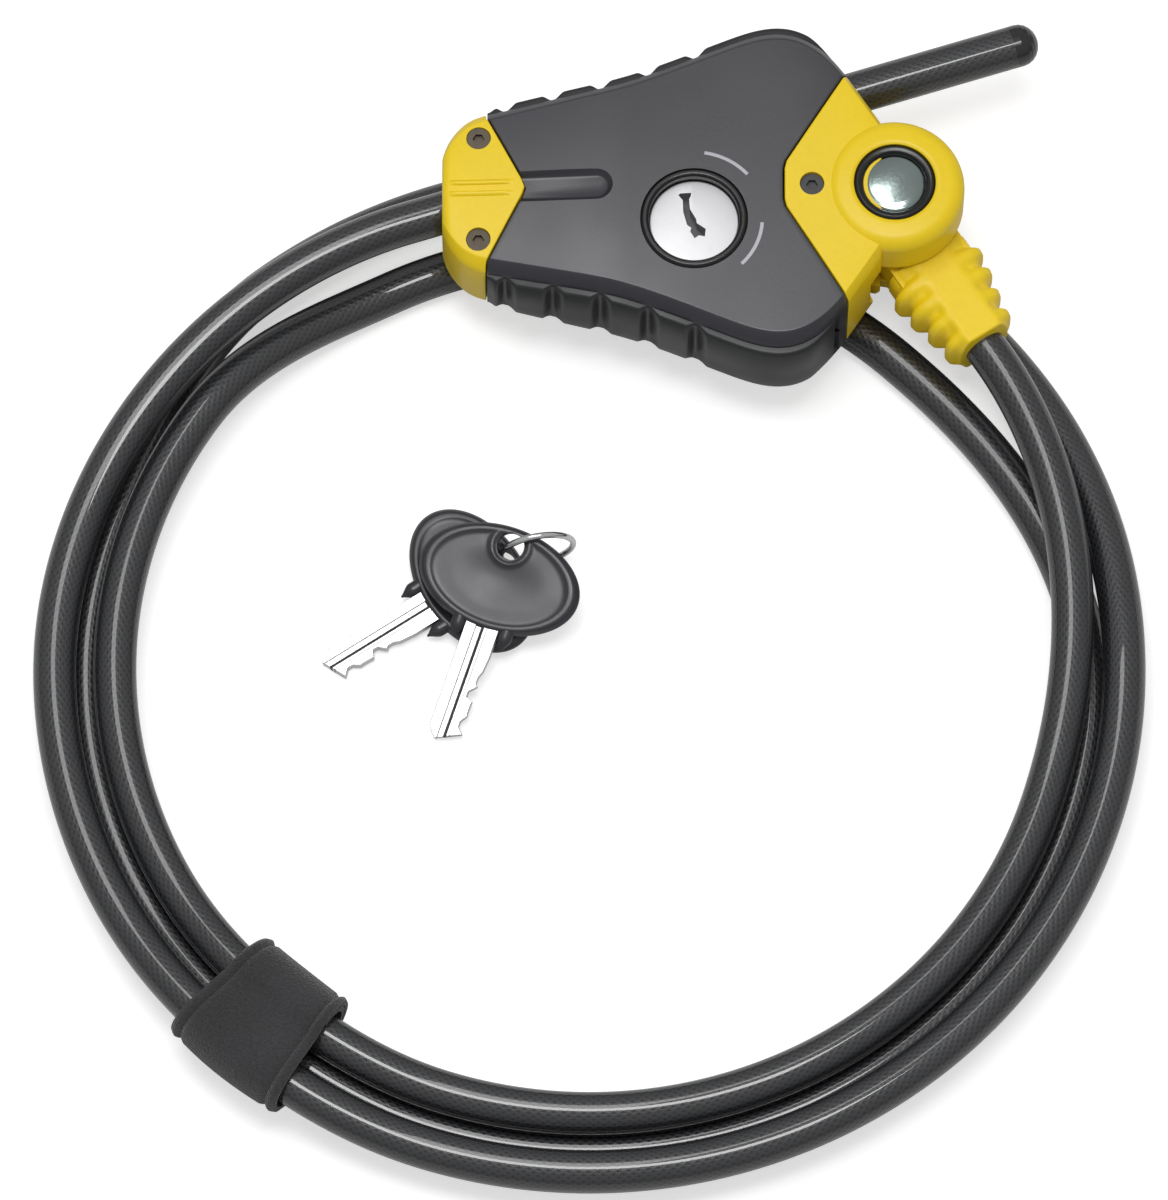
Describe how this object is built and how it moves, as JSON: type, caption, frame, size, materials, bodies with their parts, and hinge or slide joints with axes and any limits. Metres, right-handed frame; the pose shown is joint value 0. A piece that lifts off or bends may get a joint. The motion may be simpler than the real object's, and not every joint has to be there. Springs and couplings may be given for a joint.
{
  "type": "adjustable keyed locking cable",
  "caption": "Wedge-shaped lock head that grips a vinyl-covered steel cable, with a ribbed swivel boot, the cable in a strapped coil and two keys on a ring.",
  "frame": {"origin": "on the head's flat back face, on its long axis, below the key cylinder", "axes": "+X along the head towards the swivel, +Y towards the cable's passage, +Z out of the lock's face"},
  "size_m": [0.2055, 0.2274, 0.0331],
  "materials": {
    "black_shell": "fine grain moulded plastic",
    "grip_rubber": "satin rubber",
    "yellow_cap": "satin moulded plastic",
    "yellow_boot": "satin flexible plastic",
    "screw_steel": "bright steel",
    "core_metal": "cast",
    "black_trim": "gloss",
    "brass": "machined",
    "spring_steel": "drawn",
    "bright_dome": "polished",
    "cable_jacket": "glossy clear vinyl over steel braid",
    "cable_cap": "gloss vinyl",
    "strap_fabric": "woven hook-and-loop tape",
    "plug_face": "nickel plated",
    "key_metal": "nickel plated",
    "bow_plastic": "satin moulded"
  },
  "bodies": {
    "lock_head": {"front_shell": "black_shell", "back_shell": "black_shell", "upper_grip": "grip_rubber", "lower_grip": "grip_rubber", "left_end_cap": "yellow_cap", "right_end_cap": "yellow_cap", "left_cap_screws": "screw_steel", "right_cap_screw": "screw_steel", "housing_screws": "screw_steel", "lock_core": "core_metal", "cylinder_ring": "black_trim", "cylinder_housing": "brass", "driver_pins": "brass", "pin_springs": "spring_steel", "gripper_springs": "spring_steel", "swivel_pin": "screw_steel", "boss_ring": "black_trim", "boss_dome": "bright_dome", "cable_coil": "cable_jacket", "cable_grip_run": "cable_jacket", "cable_tail": "cable_jacket", "cable_tip": "cable_cap", "strap": "strap_fabric"},
    "plug": {"key_plug": "plug_face", "key_pins": "brass", "plug_clip": "spring_steel", "tail_cam": "core_metal"},
    "grip": {"gripper": "core_metal"},
    "swivel": {"boot": "yellow_boot", "swivel_eye": "core_metal", "cable_lead": "cable_jacket"},
    "ring": {"key_ring": "key_metal"},
    "first_key": {"key_1_blade": "key_metal", "key_1_bow": "bow_plastic"},
    "second_key": {"key_2_blade": "key_metal", "key_2_bow": "bow_plastic"}
  },
  "joints": [
    {"name": "plug_turn", "type": "hinge", "parent": "lock_head", "child": "plug", "pos_m": [0, -0.007, 0.012], "axis": [0, 0, -1], "range_deg": [0, 90]},
    {"name": "grip_release", "type": "slide", "parent": "lock_head", "child": "grip", "axis": [0.3007, -0.9537, 0], "range_m": [0, 0.0012], "deforming": ["gripper_springs"]},
    {"name": "boot_swivel", "type": "hinge", "parent": "lock_head", "child": "swivel", "pos_m": [0.0374, 0, 0.0075], "axis": [0, 0, 1], "range_deg": [-8, 12], "deforming": ["cable_lead"]},
    {"name": "keys_lift", "type": "slide", "parent": "lock_head", "child": "ring", "axis": [0, 0, 1], "range_m": [0, 0.05]},
    {"name": "first_key_swing", "type": "hinge", "parent": "ring", "child": "first_key", "pos_m": [-0.0341, -0.0644, 0.0026], "axis": [-0.0868, -0.2386, 0.9672], "range_deg": [-12, 12]},
    {"name": "second_key_swing", "type": "hinge", "parent": "ring", "child": "second_key", "pos_m": [-0.0359, -0.065, -0.0042], "axis": [-0.0651, -0.0407, 0.997], "range_deg": [-12, 12]}
  ],
  "couplings": [
    {"joint": "grip_release", "follows": "plug_turn", "m_per_rad": 0.00076394}
  ]
}
